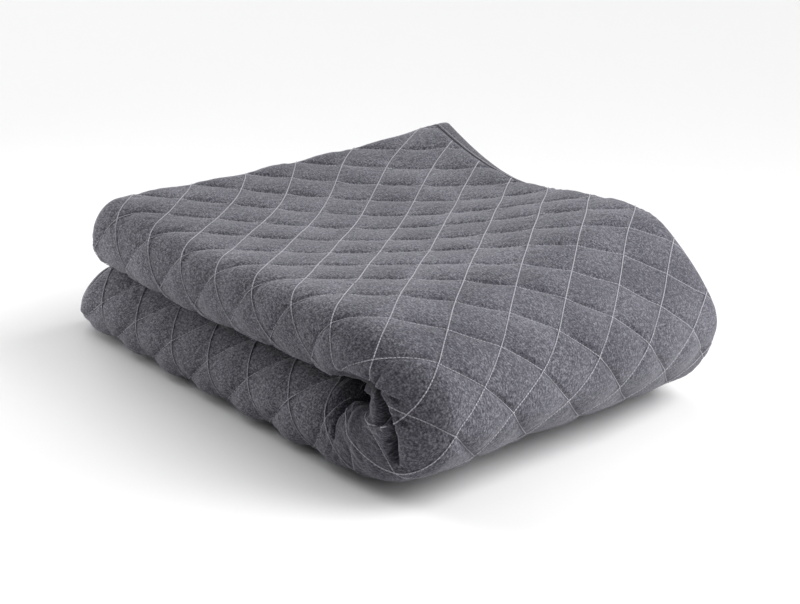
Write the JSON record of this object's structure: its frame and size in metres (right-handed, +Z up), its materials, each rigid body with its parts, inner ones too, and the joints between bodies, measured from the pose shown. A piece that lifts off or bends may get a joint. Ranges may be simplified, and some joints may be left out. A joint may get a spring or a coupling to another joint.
{
  "type": "quilted throw",
  "caption": "Soft grey jersey throw with diamond quilting and bound edges, folded in four and then in half, lying flat with its long folds and its turn to the front.",
  "frame": {"origin": "on the surface the throw lies on, under the middle of the folded throw's box", "axes": "+X from the loose ends to the turn, +Y from the side of the long rolled folds to the side of the hems, +Z up"},
  "size_m": [0.7198, 0.4948, 0.206],
  "materials": {
    "melange_jersey": "brushed melange jersey in cool mid grey, quilted in diamonds with pale thread",
    "binding_jersey": "the same jersey as a folded binding, topstitched along its inner edge"
  },
  "bodies": {
    "root": {"quilted_panel": "melange_jersey", "edge_binding": "binding_jersey"}
  },
  "joints": []
}
